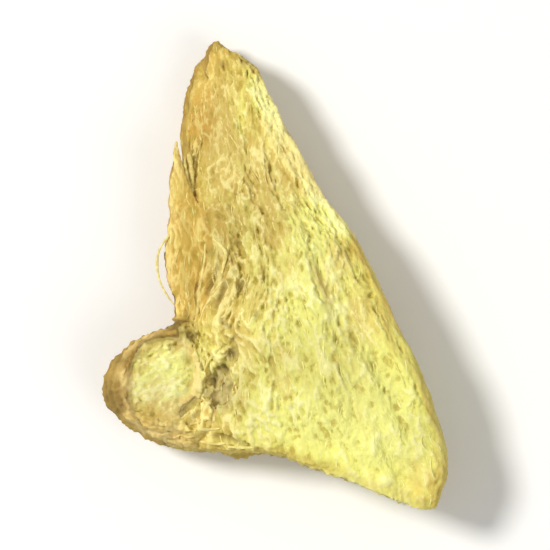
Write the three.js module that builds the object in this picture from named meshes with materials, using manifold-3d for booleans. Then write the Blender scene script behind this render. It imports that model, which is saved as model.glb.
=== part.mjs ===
// A dried chip of ginger root, as cut for tea and spice: a long wedge split off the side of a rhizome,
// with the stub of a side bud at its lower left and a splinter of bark standing off its left edge.
//
// Frame, in millimetres: +Z up from the flat cut face that the chip rests on, +Y along the fibres towards
// the narrow tip, +X across them. The origin is the middle of the footprint, on the resting face.

import * as THREE from "three";
import { ImprovedNoise } from "three/addons/math/ImprovedNoise.js";
import { mergeVertices } from "three/addons/utils/BufferGeometryUtils.js";
import Module from "manifold-3d";

const wasm = await Module();
wasm.setup();

// Driving dimensions: the edges of the wedge seen from above, from the cut end up to the tip.
const leftEdge = [
  [-4.4, -9.15],
  [-4.2, -5.0],
  [-4.6, -0.3],
  [-4.75, 4.1],
  [-4.95, 7.2],
  [-4.6, 9.8],
  [-3.85, 11.3],
  [-3.2, 12.0],
];
const rightEdge = [
  [8.3, -12.15],
  [8.85, -10.3],
  [8.15, -7.0],
  [6.35, -2.85],
  [4.35, 1.15],
  [1.45, 5.5],
  [-0.55, 9.4],
  [-1.15, 10.65],
  [-2.4, 11.6],
];
const cutEnd = [
  [-4.4, -9.15],
  [-2.1, -9.45],
  [-0.6, -9.4],
  [2.5, -10.3],
  [6.2, -11.75],
  [7.5, -12.25],
  [8.3, -12.15],
];

// Driving dimensions: the wedge's crown, from the cut end to the tip. Heights are above the resting face,
// and shares say how far across from the left edge the crown runs.
const crownHeights = [5.2, 5.8, 6.05, 5.9, 5.4, 4.8, 4.2, 3.1];
const crownShares = [0.5, 0.42, 0.42, 0.52, 0.64, 0.74, 0.8, 0.8];
const fallToLeft = 2.0; // how far the left edge lies below the crown at the wide end
const fallToRight = 0.45;
const fallAtTip = 0.6; // the same falls at the tip, as a share
const leftLean = 0.95; // how far the left wall leans out below its upper edge, near the tip
const rightUndercut = 0.9; // how far the right wall leans in towards the resting face
const wornEdge = 0.07; // how far the top face drops at its worn edges
const fibreRelief = 0.42; // height of the coarse fibre ridges
const fibrePitch = 1.05; // distance between them across the fibres
const fibreRun = 6; // length over which a ridge rises and dies
const endRelief = 0.28; // how far torn fibre ends stand out of the cut end

// Driving dimensions: low swells (rise above 0) and hollows in the top face.
const swells = [
  { at: [-2.7, -5.4], reach: 1.9, rise: -0.65 },
  { at: [0.9, 1.6], reach: 2.2, rise: 0.25 },
  { at: [4.6, -8.6], reach: 2.4, rise: 0.22 },
  { at: [-2.4, 0.8], reach: 1.3, rise: -0.25 },
  { at: [1.8, -3.6], reach: 1.5, rise: -0.2 },
  { at: [-2.6, 8.6], reach: 1.4, rise: 0.15 },
  { at: [-3.7, -8.2], reach: 1.3, rise: 0.7 },
];

// Driving dimensions: the stub of the side bud.
const budOutline = [
  [-4.2, -2.3],
  [-5.7, -2.8],
  [-7.5, -3.75],
  [-8.55, -4.75],
  [-8.95, -6.2],
  [-8.5, -7.35],
  [-7.4, -8.2],
  [-5.7, -8.95],
  [-3.7, -9.2],
  [-3.0, -7.8],
  [-3.6, -5.0],
];
const budMiddle = [-5.9, -6.1];
const budLean = [0.3, 0.3]; // how far its cut face is set off from its foot
const budHeight = 4.45;
const budFall = 0.05; // how its cut face falls to the left, as rise over run
const budDish = 0.15; // how far the cut face sinks inside its rim of bark

// The bud's girth from the resting face up to the rim, and inward over the rim, as shares of its outline.
const budProfile = [
  { girth: 0.8, level: -0.12 },
  { girth: 0.86, level: 0.1 },
  { girth: 0.95, level: 0.25 },
  { girth: 1, level: 0.42 },
  { girth: 0.99, level: 0.58 },
  { girth: 0.95, level: 0.74 },
  { girth: 0.89, level: 0.88 },
  { girth: 0.83, level: 0.97 },
  { girth: 0.78, level: 1 },
  { girth: 0.73, level: 0.98 },
  { girth: 0.55, level: 0.96 },
];

// Driving dimensions: the splinter of bark, from its free tip down to where it grows out of the wedge.
const splinterOuter = [
  [-5.25, 6.85],
  [-5.45, 5.5],
  [-5.6, 3.7],
  [-5.65, 2.3],
  [-5.98, 1.1],
  [-5.8, 0.05],
  [-5.45, -1.1],
  [-5.3, -2.9],
];
const splinterInner = [
  [-5.15, 6.85],
  [-4.8, 5.6],
  [-4.2, 4.1],
  [-3.6, 2.6],
  [-3.35, 1.1],
  [-3.3, -0.2],
  [-3.4, -1.4],
  [-3.8, -2.9],
];
const splinterHeights = [4.3, 4.05, 3.8, 3.65, 3.6, 3.6, 3.6, 3.5];
const splinterThickness = 0.7;
const splinterTilt = 0.55; // how steeply it falls to the left, as rise over run

// Driving dimensions: the clefts round the bud, with their widths and depths along each path, and the pits
// where fibre bundles have pulled out.
const clefts = [
  {
    path: [
      [-1.85, -3.6],
      [-2.3, -4.35],
      [-2.75, -5],
      [-3.3, -5.65],
      [-3.7, -6.3],
      [-4.3, -6.75],
      [-5.1, -7.6],
    ],
    widths: [0.25, 0.8, 0.55, 0.75, 0.6, 0.45, 0.15],
    depths: [0.1, 0.5, 0.35, 0.55, 0.45, 0.4, 0.1],
  },
  {
    path: [
      [-4.55, -2.8],
      [-4.2, -3.5],
      [-3.85, -4.4],
      [-3.65, -5.2],
    ],
    widths: [0.25, 0.5, 0.4, 0.3],
    depths: [0.2, 0.45, 0.35, 0.3],
  },
  {
    path: [
      [-2, -5.3],
      [-2.65, -6],
      [-3.3, -7.2],
    ],
    widths: [0.3, 1.1, 0.3],
    depths: [0.05, 0.3, 0.1],
  },
];
const pits = [
  { at: [-2.2, -4.05], width: 0.62 },
  { at: [-1.7, -0.6], width: 0.5 },
  { at: [-2.55, -2.5], width: 0.45 },
  { at: [-0.95, -2.1], width: 0.36 },
  { at: [0.9, -6.9], width: 0.4 },
  { at: [-2.7, 11.1], width: 0.4 },
];
const tipKnuckle = { at: [-3.05, 10.75, 1.8], size: [1.45, 2.8, 2.7] };

// Driving dimensions: the unevenness that drying leaves all over.
const shrinkage = [
  { amount: 0.16, wavelength: 2.6 },
  { amount: 0.08, wavelength: 1.1 },
];

// The point that the fibres fan out from, and the radius at which the distance across them is measured.
const fanPoint = [-4.9, 18.6];
const fanRadius = 25;

// Mesh fineness.
const stations = 46; // sections from the cut end to the tip
const columns = 40; // across the top face, and across the base
const rows = 4; // down a wall
const budSides = 40;
const splinterSteps = 18;
const splinterSides = 12;
const cleftSteps = 18;
const cleftSides = 10;

// The middle of a hollow's cutter lies above the surface by this share of its half height, so that the
// hollow's edges slope.
const cutterRise = 0.45;
const openingShare = Math.sqrt(1 - cutterRise ** 2); // how wide the hollow then opens, against the cutter
const belowRest = -0.5; // every piece starts below the resting face, which one flat cut then makes

const noise = new ImprovedNoise();
const mix = THREE.MathUtils.lerp;
const smooth = THREE.MathUtils.smoothstep;

const curveThrough = (points, closed = false) =>
  new THREE.CatmullRomCurve3(
    points.map(([x, y]) => new THREE.Vector3(x, y, 0)),
    closed,
    "centripetal",
  );

// A smooth run of values, read at a share from 0 to 1.
const profileOf = (values) => {
  const curve = new THREE.SplineCurve(values.map((value, i) => new THREE.Vector2(i, value)));
  return (share) => curve.getPoint(share).y;
};

const left = curveThrough(leftEdge);
const right = curveThrough(rightEdge);
const end = curveThrough(cutEnd);
const crownHeight = profileOf(crownHeights);
const crownShare = profileOf(crownShares);
const splinterHeight = profileOf(splinterHeights);

// Distance across and along the fibres.
function fibreCoordinates(x, y) {
  const angle = Math.atan2(x - fanPoint[0], fanPoint[1] - y);
  return [angle * fanRadius, Math.hypot(x - fanPoint[0], fanPoint[1] - y)];
}

// A point of the wedge seen from above. Share runs from the left edge to the right, along from end to tip.
function planPoint(share, along) {
  const straight = left.getPointAt(0).lerp(right.getPointAt(0), share);
  const bulge = end.getPointAt(share).sub(straight).multiplyScalar((1 - along) ** 4);
  return left.getPointAt(along).lerp(right.getPointAt(along), share).add(bulge);
}

function topHeight(share, along) {
  const { x, y } = planPoint(share, along);
  const crown = crownShare(along);
  const toLeft = Math.max(0, 1 - share / crown);
  const toRight = Math.max(0, (share - crown) / (1 - crown));
  const fall = (fallToLeft * toLeft ** 1.6 + fallToRight * toRight ** 2) * mix(1, fallAtTip, along);
  const [across, run] = fibreCoordinates(x, y);
  const ridge = noise.noise(across / fibrePitch, run / fibreRun, 0.5) * fibreRelief;
  let swell = 0;
  for (const { at, reach, rise } of swells) {
    swell += rise * Math.exp(-((x - at[0]) ** 2 + (y - at[1]) ** 2) / reach ** 2);
  }
  const width = left.getPointAt(along).distanceTo(right.getPointAt(along));
  const edge = Math.min(share, 1 - share) * width;
  const worn = wornEdge * (2 - smooth(edge, 0, 0.3) - smooth(along, 0, 0.015));
  return crownHeight(along) - fall + ridge + swell - worn;
}

// One section of the wedge, as a ring: over the top to the right, down, back along the base, and up.
function sectionRing(along) {
  const width = left.getPointAt(along).distanceTo(right.getPointAt(along));
  const lean = mix(0.35, leftLean, smooth(along, 0.55, 0.85));
  const upperLeft = Math.min(0.22, lean / width);
  const upperRight = Math.min(0.1, 0.04 / width);
  const lowerLeft = Math.min(0.3, 0.55 / width);
  const lowerRight = Math.min(0.35, rightUndercut / width);
  const ring = [];
  const place = (share, height) => {
    const { x, y } = planPoint(share, along);
    ring.push(new THREE.Vector3(x, y, height));
  };
  // A wall bulges to its edge of the plan at half height. Down runs from 0 at the top to 1 at the base.
  const wallShare = (down, upper, widest, lower) =>
    down < 0.5 ? mix(upper, widest, Math.sqrt(2 * down)) : mix(widest, lower, (2 * down - 1) ** 2);
  for (let i = 0; i <= columns; i++) {
    place(mix(upperLeft, 1 - upperRight, i / columns), topHeight(i / columns, along));
  }
  const rightTop = ring[columns].z;
  const leftTop = ring[0].z;
  for (let j = 1; j < rows; j++) {
    const down = j / rows;
    place(wallShare(down, 1 - upperRight, 1, 1 - lowerRight), mix(rightTop, belowRest, down));
  }
  for (let i = columns; i >= 0; i--) {
    place(mix(lowerLeft, 1 - lowerRight, i / columns), belowRest);
  }
  for (let j = rows - 1; j >= 1; j--) {
    const down = j / rows;
    place(wallShare(down, upperLeft, 0, lowerLeft), mix(leftTop, belowRest, down));
  }
  return ring;
}

// The flat grid that closes a section ring: each point is blended from the four sides of the ring.
function sectionCap(ring, relief) {
  const top = (i) => ring[i];
  const base = (i) => ring[2 * columns + rows - i];
  const rightSide = (j) => ring[columns + j];
  const leftSide = (j) => ring[(2 * columns + 2 * rows - j) % ring.length];
  const grid = [];
  for (let j = 0; j <= rows; j++) {
    const v = j / rows;
    const line = [];
    for (let i = 0; i <= columns; i++) {
      const u = i / columns;
      const point = new THREE.Vector3()
        .addScaledVector(top(i), 1 - v)
        .addScaledVector(base(i), v)
        .addScaledVector(leftSide(j), 1 - u)
        .addScaledVector(rightSide(j), u)
        .addScaledVector(top(0), -(1 - u) * (1 - v))
        .addScaledVector(top(columns), -u * (1 - v))
        .addScaledVector(base(0), -(1 - u) * v)
        .addScaledVector(base(columns), -u * v);
      const inside = i > 0 && i < columns && j > 0 && j < rows;
      if (inside) point.y += relief * noise.noise(point.x / 0.9, point.z / 1.4, 7.5);
      line.push(point);
    }
    grid.push(line);
  }
  return grid;
}

// A closed skin over rings of equal length, with its ends left open.
function tubeFaces(rings) {
  const triangles = [];
  for (let k = 0; k + 1 < rings.length; k++) {
    const around = rings[k].length;
    for (let i = 0; i < around; i++) {
      const j = (i + 1) % around;
      triangles.push(rings[k][i], rings[k][j], rings[k + 1][i]);
      triangles.push(rings[k][j], rings[k + 1][j], rings[k + 1][i]);
    }
  }
  return triangles;
}

function gridFaces(grid, flipped) {
  const triangles = [];
  for (let j = 0; j + 1 < grid.length; j++) {
    for (let i = 0; i + 1 < grid[j].length; i++) {
      const [a, b, c, d] = [grid[j][i], grid[j][i + 1], grid[j + 1][i + 1], grid[j + 1][i]];
      triangles.push(...(flipped ? [a, b, c, a, c, d] : [a, c, b, a, d, c]));
    }
  }
  return triangles;
}

function fanFaces(ring, flipped) {
  const centre = ring.reduce((sum, p) => sum.add(p), new THREE.Vector3()).divideScalar(ring.length);
  return ring.flatMap((p, i) => {
    const next = ring[(i + 1) % ring.length];
    return flipped ? [p, next, centre] : [next, p, centre];
  });
}

const geometryFrom = (triangles) => new THREE.BufferGeometry().setFromPoints(triangles);

function wedgeGeometry() {
  const rings = [];
  for (let k = 0; k <= stations; k++) rings.push(sectionRing(k / stations));
  return geometryFrom([
    ...tubeFaces(rings),
    ...gridFaces(sectionCap(rings[0], endRelief), false),
    ...gridFaces(sectionCap(rings[stations], 0), true),
  ]);
}

// The bud stub: its outline drawn in or let out at each level of its profile.
function budGeometry() {
  const outline = curveThrough(budOutline, true);
  const rings = budProfile.map(({ girth, level }, k) => {
    const ring = [];
    for (let i = 0; i < budSides; i++) {
      const { x, y } = outline.getPointAt(i / budSides);
      const from = new THREE.Vector2(...budMiddle);
      const lean = new THREE.Vector2(...budLean).multiplyScalar(smooth(level, 0.5, 1));
      const p = from.lerp(new THREE.Vector2(x, y), girth).add(lean);
      const sunk = k === budProfile.length - 1 ? budDish : 0;
      ring.push(new THREE.Vector3(p.x, p.y, level * budHeight - sunk + budFall * (p.x - budMiddle[0])));
    }
    return ring;
  });
  return geometryFrom([
    ...tubeFaces(rings),
    ...fanFaces(rings[0], false),
    ...fanFaces(rings[rings.length - 1], true),
  ]);
}

// The splinter: a thin blade with lens-shaped sections between its two edges.
function splinterGeometry() {
  const outer = curveThrough(splinterOuter);
  const inner = curveThrough(splinterInner);
  const rings = [];
  for (let k = 0; k <= splinterSteps; k++) {
    const share = k / splinterSteps;
    const a = outer.getPointAt(share);
    const b = inner.getPointAt(share);
    const middle = a.clone().add(b).divideScalar(2);
    const half = b.sub(middle);
    const thick = (splinterThickness / 2) * Math.min(1, half.length() * 1.6);
    const ring = [];
    for (let i = 0; i < splinterSides; i++) {
      const angle = (i / splinterSides) * 2 * Math.PI;
      const p = middle.clone().addScaledVector(half, Math.cos(angle));
      p.z = splinterHeight(share) + splinterTilt * half.length() * Math.cos(angle) + thick * Math.sin(angle);
      ring.push(p);
    }
    rings.push(ring);
  }
  return geometryFrom([
    ...tubeFaces(rings),
    ...fanFaces(rings[0], false),
    ...fanFaces(rings[splinterSteps], true),
  ]);
}

const knuckleGeometry = ({ at, size }) =>
  new THREE.IcosahedronGeometry(0.5, 3).scale(...size).translate(...at);

// A hollow sunk into the surface along a path, by a tube whose middle lies above the surface.
function cleftGeometry({ path, widths, depths }) {
  const curve = curveThrough(path);
  const width = profileOf(widths);
  const depth = profileOf(depths);
  const rings = [];
  for (let k = 0; k <= cleftSteps; k++) {
    const share = k / cleftSteps;
    const middle = curve.getPointAt(share);
    const tangent = curve.getTangentAt(share);
    const half = width(share) / 2 / openingShare;
    const across = new THREE.Vector3(-tangent.y, tangent.x, 0).multiplyScalar(half);
    const height = depth(share) / (1 - cutterRise);
    const ring = [];
    for (let i = 0; i < cleftSides; i++) {
      const angle = (i / cleftSides) * 2 * Math.PI;
      const p = middle.clone().addScaledVector(across, Math.cos(angle));
      p.z = surfaceAt(middle.x, middle.y) + height * (cutterRise + Math.sin(angle));
      ring.push(p);
    }
    rings.push(ring);
  }
  return geometryFrom([
    ...tubeFaces(rings),
    ...fanFaces(rings[0], false),
    ...fanFaces(rings[cleftSteps], true),
  ]);
}

// A pit is drawn out along the fibres.
function pitGeometry({ at: [x, y], width }) {
  const heading = Math.atan2(x - fanPoint[0], fanPoint[1] - y);
  const girth = width / openingShare;
  return new THREE.IcosahedronGeometry(0.5, 2)
    .scale(girth, 1.6 * girth, girth)
    .rotateZ(heading)
    .translate(x, y, surfaceAt(x, y) + (cutterRise * girth) / 2);
}

function solidOf(geometry) {
  const plain = geometry.clone();
  for (const name of Object.keys(plain.attributes)) {
    if (name !== "position") plain.deleteAttribute(name);
  }
  const merged = mergeVertices(plain, 1e-4);
  const mesh = new wasm.Mesh({
    numProp: 3,
    vertProperties: merged.attributes.position.array,
    triVerts: new Uint32Array(merged.index.array),
  });
  return new wasm.Manifold(mesh);
}

function geometryOf(solid) {
  const mesh = solid.getMesh();
  return new THREE.BufferGeometry()
    .setAttribute("position", new THREE.BufferAttribute(mesh.vertProperties, 3))
    .setIndex(new THREE.BufferAttribute(mesh.triVerts, 1));
}

// Shrinks and swells a solid unevenly. The shift fades out at the resting face, which stays flat.
function unevenly(geometry) {
  const position = geometry.attributes.position;
  const p = new THREE.Vector3();
  for (let i = 0; i < position.count; i++) {
    p.fromBufferAttribute(position, i);
    const shift = new THREE.Vector3();
    for (const { amount, wavelength } of shrinkage) {
      const q = p.clone().divideScalar(wavelength);
      shift.x += amount * noise.noise(q.x, q.y, q.z + 11.3);
      shift.y += amount * noise.noise(q.x + 5.7, q.y, q.z);
      shift.z += amount * noise.noise(q.x, q.y + 9.1, q.z);
    }
    shift.z *= smooth(p.z, 0, 1);
    position.setXYZ(i, p.x + shift.x, p.y + shift.y, p.z + shift.z);
  }
  return geometry;
}

const forms = [wedgeGeometry(), budGeometry(), splinterGeometry(), knuckleGeometry(tipKnuckle)];
const joined = forms.map(solidOf).reduce((whole, solid) => whole.add(solid));

// Height of the joined form above a point, by a ray straight down.
const uncut = new THREE.Mesh(geometryOf(joined), new THREE.MeshBasicMaterial({ side: THREE.DoubleSide }));
function surfaceAt(x, y) {
  const ray = new THREE.Raycaster(new THREE.Vector3(x, y, 50), new THREE.Vector3(0, 0, -1));
  return ray.intersectObject(uncut)[0].point.z;
}

const table = new THREE.BoxGeometry(60, 60, 20).translate(0, 0, -10);
const cuts = [...clefts.map(cleftGeometry), ...pits.map(pitGeometry), table];
const chip = cuts.reduce((rest, cut) => rest.subtract(solidOf(cut)), joined);

const geometry = unevenly(geometryOf(chip));
geometry.computeBoundingBox();
const middle = geometry.boundingBox.getCenter(new THREE.Vector3());
geometry.translate(-middle.x, -middle.y, -geometry.boundingBox.min.z);
geometry.computeVertexNormals();

const driedRoot = new THREE.MeshStandardMaterial({ color: 0xe2cc72, roughness: 0.9, metalness: 0 });
const root = new THREE.Mesh(geometry, driedRoot);
root.name = "ginger_root";

const part = new THREE.Group();
part.add(root);

export default part;
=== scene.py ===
"""A cut chip of dried ginger root, dressed for looking at.

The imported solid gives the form. A finer skin takes its place here, with torn fibres, pits,
wrinkled bark and grain modelled into the mesh, and loose fibres lie on it. Shapes are worked out
in millimetres and made in metres.
"""

import math

import bpy
import numpy as np
from mathutils import Matrix, Vector, noise
from mathutils.bvhtree import BVHTree
from mathutils.geometry import interpolate_bezier
from mathutils.kdtree import KDTree


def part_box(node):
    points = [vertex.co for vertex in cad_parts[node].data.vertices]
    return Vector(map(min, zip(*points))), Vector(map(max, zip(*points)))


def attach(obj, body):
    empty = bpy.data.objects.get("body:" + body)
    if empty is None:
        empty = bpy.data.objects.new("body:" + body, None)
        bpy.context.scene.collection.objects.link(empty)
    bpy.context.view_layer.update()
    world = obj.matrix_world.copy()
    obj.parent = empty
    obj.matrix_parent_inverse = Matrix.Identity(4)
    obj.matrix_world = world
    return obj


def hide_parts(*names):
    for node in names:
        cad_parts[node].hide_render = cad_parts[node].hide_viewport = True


MM = 0.001
SEED = 20

# Directions of the fibres, seen from above. All places below are in millimetres, in the frame
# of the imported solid.
FAN_POINT = (-5.9, 30.0)  # the fibres fan out from here
FAN_RADIUS = 32.0  # distances across the fibres are true at this radius
PULLED_FIBRES = (-2.3, -1.0)  # round here they were pulled askew when the chip was torn off
CALM_SPOTS = ((4.5, -8.0), (7.5, -10.5))  # the torn surface is smoother round here
ROUGH_SPOTS = ((-1.5, -7.4), (-2.3, -1.0))  # and rougher round here

# The stub of the side bud.
BUD_AXIS = (-0.8, -0.6)  # it grows away from the wedge this way
BUD_SEAM = ((-4.4, -2.4), (-4.0, -9.0))  # where it joins the wedge
BUD_MIDDLE = (-5.7, -5.7)
BUD_RADIUS = 2.2
BUD_FACE = (  # outline of its cut disc
    (-4.6, -3.4), (-5.6, -3.3), (-6.8, -3.6), (-7.35, -4.5), (-7.5, -5.4), (-7.5, -6.4),
    (-7.3, -7.3), (-6.9, -7.9), (-5.7, -8.2), (-4.9, -7.5), (-4.2, -6.4), (-3.9, -5.6),
    (-3.95, -4.6),
)
BUD_RIDGE = (  # raised edge of the disc on the side of the wedge
    (-5.2, -3.4), (-4.65, -3.45), (-4.2, -4.2), (-3.98, -4.8), (-3.98, -5.6), (-4.2, -6.3),
    (-4.7, -6.6),
)
BUD_UPPER_RIM = ((-7.8, -4.15), (-6.9, -3.35), (-6.0, -2.8), (-5.3, -2.4))
BUD_LOWER_RIM = ((-7.7, -7.6), (-6.8, -8.15), (-5.7, -8.55), (-4.5, -8.85))
BUD_HEM = (  # the lowest bark that shows from above, darkened with painted shadow
    (-8.3, -7.2), (-7.2, -8.2), (-6.3, -8.75), (-5.2, -9.1),
)
RING_SPACING = 1.1  # between the rings on its bark

# The wedge, its cut end and its splinter.
END_CUT_Y = -8.4  # the cut end lies below this line
SPLINTER_INNER = (  # y and x of the line where the splinter parts from the wedge
    (-2.9, -3.8), (-1.4, -3.4), (-0.2, -3.3), (1.1, -3.35), (2.6, -3.6), (4.1, -4.2),
    (6.9, -5.0),
)
SPLINTER_EDGE = (  # its outer edge, pale and without bark
    (-5.2, 7.0), (-5.05, 5.6), (-5.15, 5.0), (-5.45, 4.0), (-5.35, 3.3), (-5.1, 2.9),
    (-5.35, 2.2), (-5.6, 1.7), (-5.5, 0.8), (-5.45, -0.3),
)
SPLINTER_EDGE_WIDTH = 0.3
CREVICE = ((-4.75, 5.9), (-4.6, 4.9), (-4.4, 4.0), (-4.25, 3.3))  # split along its root
CLEFT = (  # between the wedge and the bud
    (-2.0, -3.8), (-2.6, -4.8), (-3.3, -5.6), (-3.5, -6.1), (-4.2, -6.6), (-5.0, -7.5),
)
HOLLOW = (-2.8, -6.1)  # a hollow on the wedge's side of the cleft, greyed with painted shade
HOLLOW_SIZE = (0.85, 1.15)  # half its width and half its length
PITS = (
    (-1.9, 1.6), (-2.2, 0.8), (-3.35, 1.15), (-2.4, -0.4), (-2.1, -3.3), (-0.95, -2.1),
    (0.9, -6.9), (-2.7, 11.0),
)
DEEP_PITS = ((-4.3, -3.25), (-2.25, -4.2), (-2.65, -4.95), (-1.65, -0.65))
GAPS = (  # narrow gaps between the pulled strands, darkened with painted shade
    ((-3.0, 0.3), (-3.2, -0.3), (-3.5, -1.0)),
    ((-2.5, -0.6), (-2.75, -1.1), (-3.05, -1.7)),
    ((-2.75, -2.4), (-2.35, -2.75)),
    ((-4.65, -1.9), (-4.55, -2.7)),
    ((-4.95, -7.2), (-4.1, -6.5)),
    ((-4.5, -7.65), (-3.9, -7.1)),
    ((-3.1, -8.4), (-2.4, -8.55), (-1.4, -8.9)),
)
LINES = {  # path, half width, and the heights between which it fades in
    "upper_rim": (BUD_UPPER_RIM, 0.24, 2.6, 3.2),
    "hem": (BUD_HEM, 0.28, 0.5, 1.5),
    "crevice": (CREVICE, 0.4, 1.5, 2.5),
}

# Grooves that are deeper in the solid than what shows between the fibres. They are filled above
# one height, towards the height of the ground beside them.
FILLED_SPOTS = (
    # deepest part of the cleft
    {"spots": ((-3.5, -5.65), (-4.2, -6.55), (-4.8, -7.0)), "reach": 0.45, "strength": 0.85,
     "most": 0.85, "above": 1.5, "ground": 4.3},
    # dip where the wedge and the bud meet near the cut end
    {"spots": ((-3.0, -7.2), (-2.95, -8.1)), "reach": 0.45, "strength": 1.0,
     "most": 0.8, "above": 3.5, "ground": 4.5},
)
FILLED_PATHS = (
    {"path": CREVICE, "reach": 0.28, "above": 2.3, "ground": 3.7},
    # foot of the bud's ridge
    {"path": ((-4.4, -3.5), (-4.0, -4.1), (-3.75, -4.8), (-3.7, -5.2)), "reach": 0.2,
     "above": 3.0, "ground": 4.42},
)
SHELF_GROUND = 4.25  # height of the bud's lower rim
SHELF_MOST = 0.8
HIGHEST_RELIEF = 0.12  # above the top of the solid
WALL_TOP = 2.5  # what stands upright below this height belongs to the chip's outline

# Places with a colour of their own.
WARM_STREAK = ((-0.9, 7.6), (-0.1, 1.8))
WARM_SPOTS = (
    (3.7, 1.2), (4.7, -1.6), (-4.6, -8.2), (-6.2, -8.2), (0.8, 5.4), (5.2, -2.6), (0.8, 6.8),
    (-3.4, -0.3), (-5.2, -2.3),
)
LEMON_SPOTS = (
    (-0.9, 10.2), (-0.2, 6.6), (0.0, 8.1), (-5.6, -5.4), (-5.2, -4.3), (-1.0, -7.4),
    (1.8, -8.4), (5.8, -11.2),
)
AMBER_SPOTS = (
    (-4.2, 2.5), (-4.9, -0.5), (-4.3, 9.2), (-4.4, 7.9), (-4.7, 7.2), (-3.6, 11.9),
    (-7.2, -8.4),
)
AMBER_REACH = 1.2
GOLDEN_CORNER = (7.9, -10.9)
PALE_SPLINTER_TIP = (-5.2, 6.6)
TONE_REACH = 1.5
# Some of these are the flesh's own paler and duller patches; those near the bud's lower edge and
# along the upper right edge are painted light on slopes turned from the key light.
TONE_SPOTS = (  # x, y and how much paler than the rest, or duller where it is less than 0
    (-0.7, 8.6, 1.0), (0.3, 7.2, 1.0), (-1.6, 9.0, 0.6), (-3.4, 11.3, 0.7), (2.1, 3.7, 1.3),
    (1.4, 4.8, 0.4), (5.4, -8.4, 0.8), (-1.4, -8.2, -0.3), (-3.4, -8.0, 1.0), (-4.6, -7.9, 0.8),
    (0.1, -6.4, 0.5), (3.0, -9.4, 0.6), (5.4, -2.3, 0.7), (-5.9, -5.9, -0.6), (5.8, -11.2, 0.9),
    (4.5, 0.2, 0.4), (-1.6, -4.2, -0.4), (7.2, -8.3, -0.8), (3.8, -4.2, -0.4),
    (-4.9, -3.7, 1.0), (-3.5, -4.3, 1.2), (-1.8, -1.8, 1.0), (-5.2, 5.6, 0.8), (-5.2, -2.3, 1.0),
    (5.4, -4.3, 0.4), (-3.7, 7.9, -1.3), (-2.6, 2.2, -0.9), (-4.3, 2.4, -0.5),
    (-2.9, 6.2, -0.2), (0.2, 5.2, -0.4), (0.0, 3.6, -0.4), (-3.5, -0.4, -1.1),
    (-5.0, -0.6, -0.7), (0.2, -2.4, -0.45), (3.6, -2.2, -0.4), (1.4, -4.6, -1.0),
    (3.2, -4.4, -1.0), (-1.7, -6.2, -1.2), (1.9, -6.3, -0.3),
)
# Darker spots on the bud's far left.
FAR_LEFT_DARK_SPOTS = ((-8.1, -6.6), (-8.2, -4.3), (-8.8, -5.6), (-8.7, -6.3), (-8.6, -7.0))
PEACH_SPOTS = (  # x, y, reach and strength of pale orange patches
    (-7.65, -5.1, 0.35, 0.8), (-7.6, -5.7, 0.35, 0.8), (-7.95, -5.2, 0.4, 0.6),
    # painted light on the bud's lower slope, which turns from the key light
    (-5.2, -8.2, 0.6, 0.8),
)

# Fineness of the skin.
VOXEL = 0.089
SOFTENING_PASSES = 3
WEAR_PASSES = 40  # where the coarse ridges crowd together near the tip
THINNING = 0.62  # share of the faces to keep, which only the flat underside can give up

# Loose fibres.
FLATNESS = 0.7  # height of a fibre's section as a share of its width
STEEPEST_STEP = 0.22  # a fibre ends before the ground drops this much from one point to the next
LOWEST_FIBRE = 1.5  # no fibre lies lower
ABOVE_CHIP = 5.0  # from this far above the chip its surface is looked for, straight down
CURVE_STEPS = 8  # points between two corners of a strand
STRAND_SIDES = 10
STRANDS = (
    {"points": ((-3.6, 1.55), (-3.62, 0.8), (-3.77, -0.1), (-3.9, -0.95), (-3.95, -2.0)),
     "radius": 0.07},
    {"points": ((-3.2, 1.84), (-2.78, 1.46), (-2.52, 1.07), (-2.63, 0.47), (-2.78, -0.3)),
     "radius": 0.09},
    {"points": ((-2.7, -0.4), (-3.07, -0.85), (-3.36, -1.35), (-3.66, -1.8), (-3.84, -2.3)),
     "radius": 0.07},
    {"points": ((-2.12, -1.24), (-2.19, -1.68), (-2.52, -2.12), (-2.78, -2.28)), "radius": 0.08},
    {"points": ((-2.75, -3.75), (-3.1, -4.1), (-3.5, -4.6), (-3.7, -5.2)), "radius": 0.08},
    {"points": ((-3.8, -6.35), (-3.5, -6.7), (-3.25, -7.1)), "radius": 0.06},
    {"points": ((-4.85, -7.5), (-4.5, -7.2), (-4.15, -6.9)), "radius": 0.06},
    {"points": ((-4.4, -7.8), (-4.0, -7.7), (-3.5, -7.55)), "radius": 0.06},
    {"points": ((-4.2, -8.0), (-3.5, -8.05), (-2.8, -8.0)), "radius": 0.08},
    {"points": ((-3.9, -8.65), (-3.1, -8.8), (-2.4, -8.75)), "radius": 0.08},
    {"points": ((-2.4, -8.95), (-1.7, -9.0), (-1.1, -9.0)), "radius": 0.08},
    {"points": ((-4.72, 6.0), (-4.66, 5.4), (-4.5, 4.6), (-4.33, 4.0), (-4.1, 3.0)),
     "radius": 0.15, "height": 3.95},
    {"points": ((-4.92, 5.8), (-4.82, 5.3), (-4.68, 4.8)), "radius": 0.1, "height": 3.92},
    {"points": ((-4.46, 6.3), (-4.38, 5.6), (-4.31, 4.9), (-4.3, 4.2)),
     "radius": 0.15, "height": 3.72},
    {"points": ((-5.3, 2.3), (-5.75, 1.75), (-6.1, 1.0), (-6.05, -0.1), (-5.65, -1.0),
                (-5.2, -1.6)),
     "radius": 0.06, "height": 3.25},
)
FIBRE_KINDS = (
    {"count": 90, "length": (0.7, 1.9), "bend": 0.4, "lift": (0.0, 0.02),
     "radius": (0.03, 0.05), "sink": 0.5, "sides": 8, "steps": 14},
    {"count": 200, "length": (0.35, 0.9), "bend": 0.4, "lift": (0.0, 0.03),
     "radius": (0.03, 0.05), "sink": 0.5, "sides": 6, "steps": 8},
    {"count": 24, "length": (0.8, 2.0), "bend": 0.9, "lift": (0.05, 0.3),
     "radius": (0.016, 0.028), "sink": 0.0, "sides": 6, "steps": 12},
)

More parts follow.
